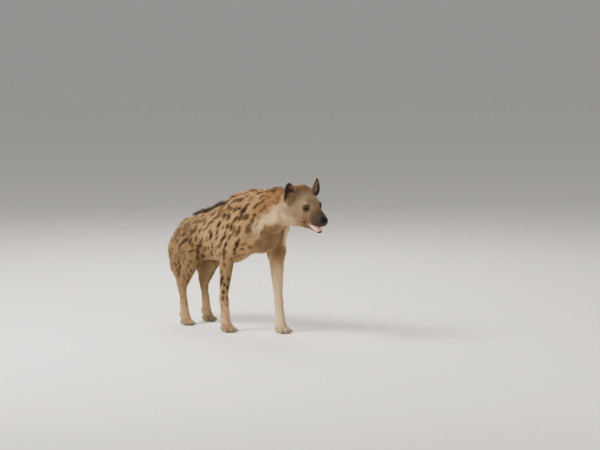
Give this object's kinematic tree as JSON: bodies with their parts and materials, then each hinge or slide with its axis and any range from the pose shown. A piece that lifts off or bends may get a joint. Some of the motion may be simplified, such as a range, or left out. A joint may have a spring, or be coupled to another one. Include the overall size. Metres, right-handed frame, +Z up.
{
  "type": "spotted hyena",
  "caption": "Life-size still model of a spotted hyena in a slow walking stance, with its head level, its mouth open, round ears, a sloping back, a low crest and a hanging brush tail.",
  "frame": {"origin": "on the floor, under the middle of the bounding box", "axes": "+X the way the animal faces, +Y its left side, +Z up"},
  "size_m": [1.3081, 0.3175, 0.8701],
  "materials": {
    "coat": "matt sandy hair with dark spots",
    "leg_coat": "matt short hair",
    "face": "matt short hair, darker on the muzzle",
    "brush": "matt long dark hair",
    "ear": "matt short dark hair",
    "nose_skin": "moist dark skin",
    "tongue": "moist pink skin",
    "eye": "glossy dark brown"
  },
  "bodies": {
    "root": {"torso": "coat", "neck": "coat", "head": "face", "jaw": "face", "tongue": "tongue", "nose": "nose_skin", "eye_left": "eye", "eye_right": "eye", "ear_left": "ear", "ear_right": "ear", "tail": "brush", "foreleg_left": "leg_coat", "foreleg_right": "leg_coat", "forefoot_left": "leg_coat", "forefoot_right": "leg_coat", "hindleg_left": "leg_coat", "hindleg_right": "leg_coat", "hindfoot_left": "leg_coat", "hindfoot_right": "leg_coat"}
  },
  "joints": []
}
